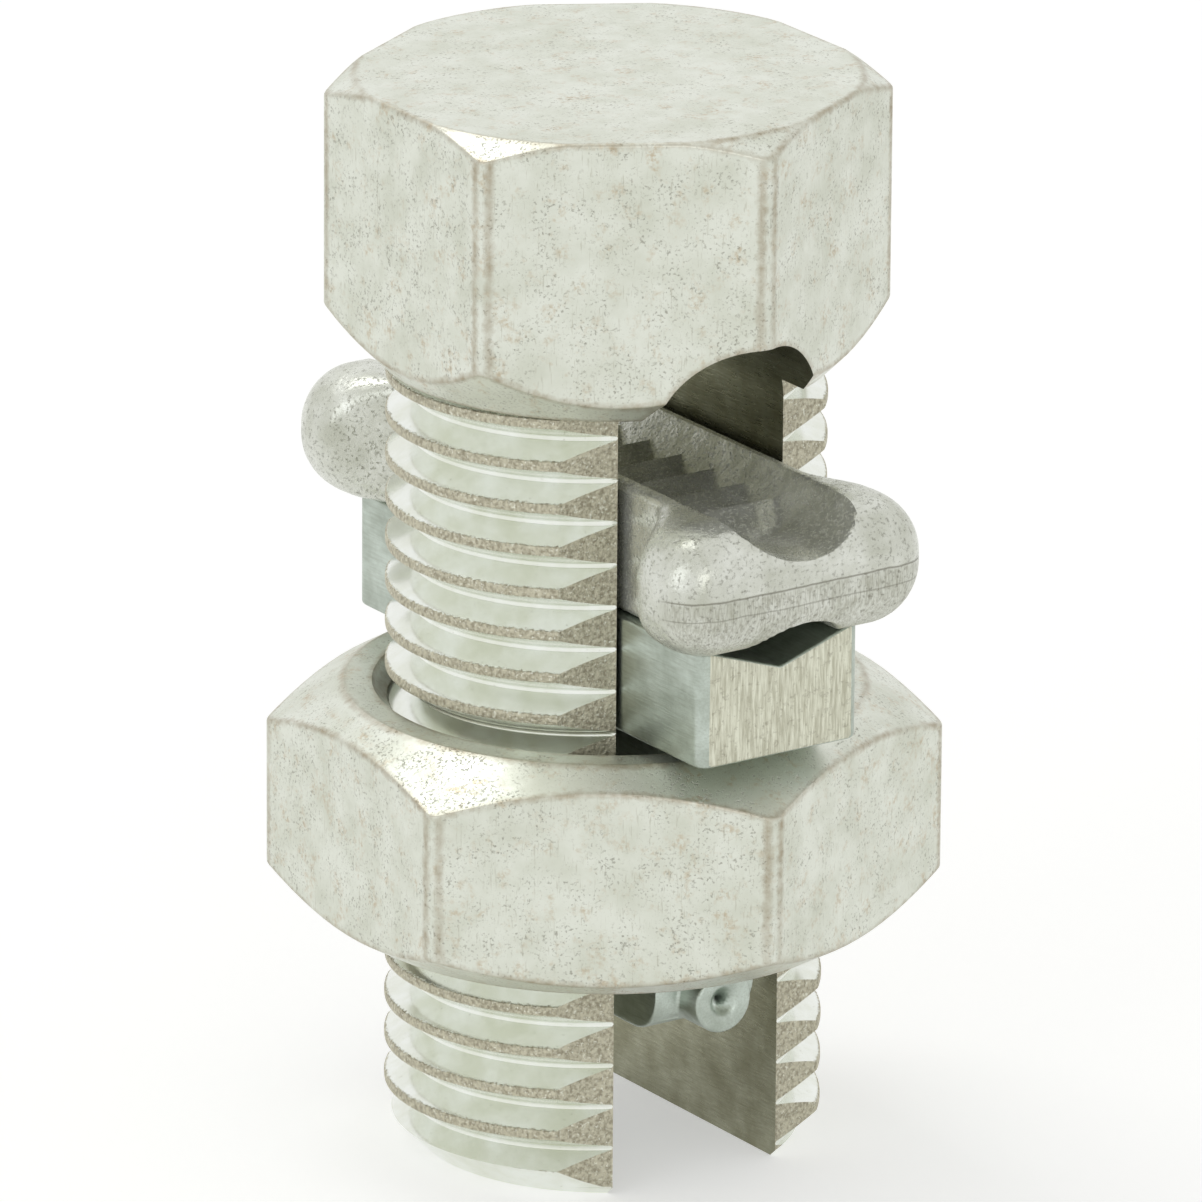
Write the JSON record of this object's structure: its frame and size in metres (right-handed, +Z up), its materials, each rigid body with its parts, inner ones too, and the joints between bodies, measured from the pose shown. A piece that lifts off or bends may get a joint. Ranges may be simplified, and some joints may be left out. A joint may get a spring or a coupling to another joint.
{
  "type": "split bolt connector",
  "caption": "Slotted bolt with a hex head, a hex nut with a staked pressure bar, and a loose toothed spacer, which clamps two wires side by side in its slot.",
  "frame": {"origin": "on the bolt's axis, at the level of its leg ends, which it stands on", "axes": "+Z up the bolt's axis to the head; the slot and the wires run along Y; the two legs stand at -X and +X"},
  "size_m": [0.0198, 0.0232, 0.0358],
  "materials": {
    "split_bolt": "forged copper alloy, tin plated, satin, thread crests burnished",
    "hex_nut": "copper alloy, tin plated, satin with worn edges",
    "pressure_bar": "sawn copper alloy bar, tin plated, satin",
    "spacer": "cast copper alloy, tumbled and tin plated, dull"
  },
  "bodies": {
    "bolt": {"split_bolt": "split_bolt"},
    "bar": {"pressure_bar": "pressure_bar"},
    "nut": {"hex_nut": "hex_nut"},
    "spacer": {"spacer": "spacer"}
  },
  "joints": [
    {"name": "bar_travel", "type": "slide", "parent": "bolt", "child": "bar", "axis": [0, 0, 1], "range_m": [-0.00495, 0.00142]},
    {"name": "nut_spin", "type": "hinge", "parent": "bar", "child": "nut", "pos_m": [0, 0, 0.01158], "axis": [0, 0, 1], "range_deg": [-1260, 360]},
    {"name": "spacer_lift", "type": "slide", "parent": "bar", "child": "spacer", "axis": [0, 0, 1], "range_m": [0, 0.0013]}
  ],
  "couplings": [
    {"joint": "bar_travel", "follows": "nut_spin", "m_per_rad": 0.00022457}
  ]
}
